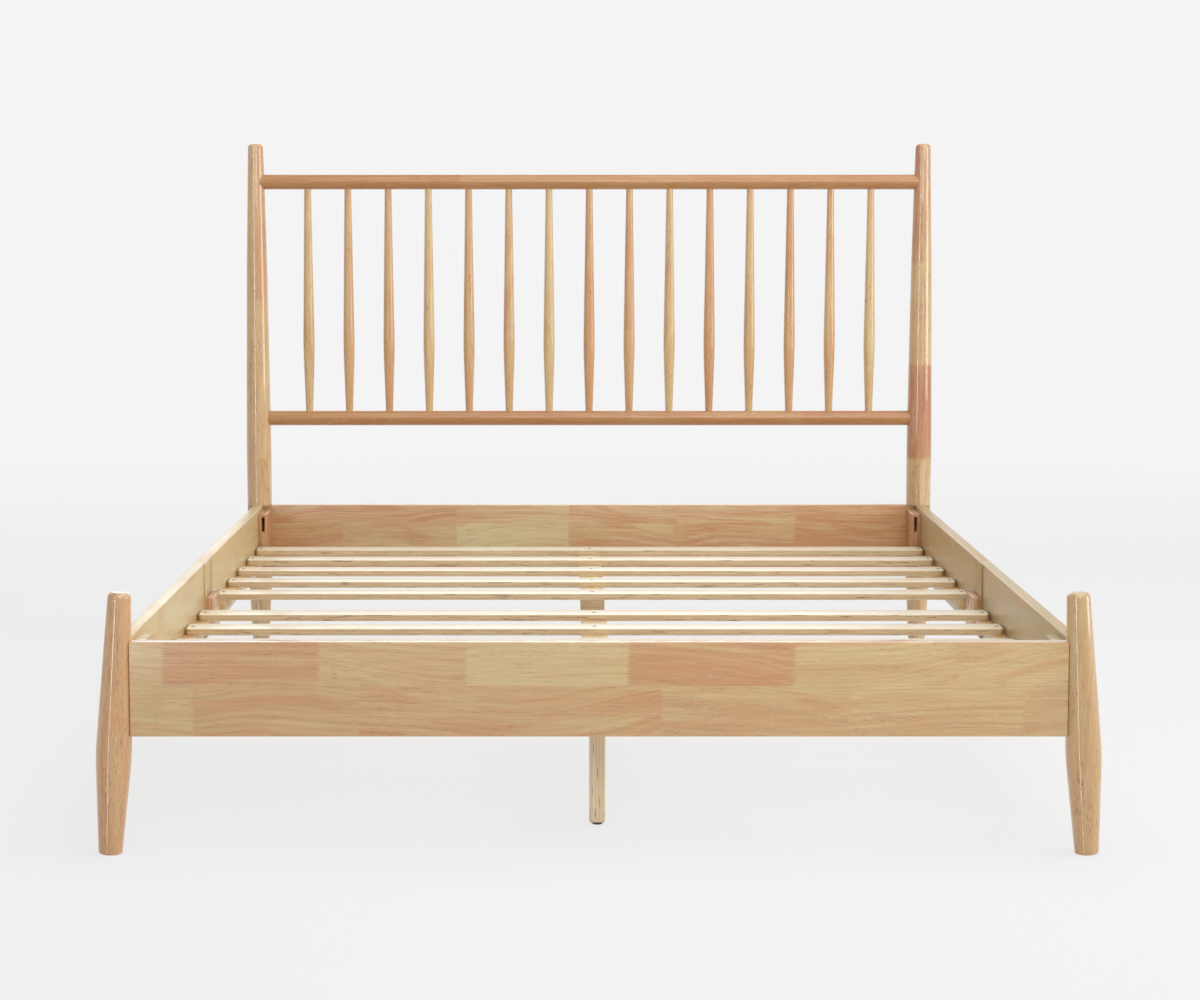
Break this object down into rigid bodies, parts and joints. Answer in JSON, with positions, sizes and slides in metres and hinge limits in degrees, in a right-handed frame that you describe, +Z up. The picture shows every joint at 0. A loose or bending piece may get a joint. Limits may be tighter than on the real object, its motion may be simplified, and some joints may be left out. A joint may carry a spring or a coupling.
{
  "type": "spindle bed",
  "caption": "Low wooden bed frame with a turned spindle headboard, splayed foot legs, split side rails and slatted decks on centre legs.",
  "frame": {"origin": "on the floor, under the middle of the bed's outline", "axes": "+Z up; +Y from the foot to the head; +X to the right as seen from the foot"},
  "size_m": [1.648, 2.1299, 1.2],
  "materials": {
    "jointed_board": "satin lacquer over finger-jointed staves",
    "turned_wood": "semi-gloss lacquer on turned wood",
    "slat_plywood": "smooth raw plywood with layered edges",
    "plain_softwood": "planed, thin lacquer",
    "block_wood": "planed pinkish wood, thin lacquer",
    "leg_plywood": "upright layered wood",
    "black_plastic": "matt moulded pad",
    "dark_zinc_steel": "darkened zinc",
    "bright_zinc_steel": "bright zinc"
  },
  "bodies": {
    "bed_frame": {"centre_beam_foot": "plain_softwood", "centre_beam_head": "plain_softwood", "centre_leg_foot": "leg_plywood", "centre_leg_head": "leg_plywood", "corner_block_left_foot": "block_wood", "corner_block_left_head": "block_wood", "corner_block_right_foot": "block_wood", "corner_block_right_head": "block_wood", "corner_bolts": "dark_zinc_steel", "foot_leg_left": "turned_wood", "foot_leg_right": "turned_wood", "foot_rail": "jointed_board", "head_panel": "jointed_board", "head_post_left": "turned_wood", "head_post_right": "turned_wood", "headboard_lower_rail": "turned_wood", "headboard_top_rail": "turned_wood", "insert_nuts": "bright_zinc_steel", "side_rail_left_foot": "jointed_board", "side_rail_left_head": "jointed_board", "side_rail_right_foot": "jointed_board", "side_rail_right_head": "jointed_board", "slat_01": "slat_plywood", "slat_02": "slat_plywood", "slat_03": "slat_plywood", "slat_04": "slat_plywood", "slat_05": "slat_plywood", "slat_06": "slat_plywood", "slat_07": "slat_plywood", "slat_08": "slat_plywood", "slat_09": "slat_plywood", "slat_10": "slat_plywood", "slat_ledger_left_foot": "plain_softwood", "slat_ledger_left_head": "plain_softwood", "slat_ledger_right_foot": "plain_softwood", "slat_ledger_right_head": "plain_softwood", "spindle_01": "turned_wood", "spindle_02": "turned_wood", "spindle_03": "turned_wood", "spindle_04": "turned_wood", "spindle_05": "turned_wood", "spindle_06": "turned_wood", "spindle_07": "turned_wood", "spindle_08": "turned_wood", "spindle_09": "turned_wood", "spindle_10": "turned_wood", "spindle_11": "turned_wood", "spindle_12": "turned_wood", "spindle_13": "turned_wood", "spindle_14": "turned_wood", "spindle_15": "turned_wood", "splice_block_left": "block_wood", "splice_block_right": "block_wood", "splice_bolts": "dark_zinc_steel", "splice_plate_left": "block_wood", "splice_plate_right": "block_wood", "thread_sleeves": "bright_zinc_steel"},
    "foot_end_levelling_foot": {"levelling_foot_foot": "black_plastic"},
    "head_end_levelling_foot": {"levelling_foot_head": "black_plastic"}
  },
  "joints": [
    {"name": "foot_end_levelling", "type": "slide", "parent": "bed_frame", "child": "foot_end_levelling_foot", "axis": [0, 0, -1], "range_m": [0, 0.01]},
    {"name": "head_end_levelling", "type": "slide", "parent": "bed_frame", "child": "head_end_levelling_foot", "axis": [0, 0, -1], "range_m": [0, 0.01]}
  ]
}
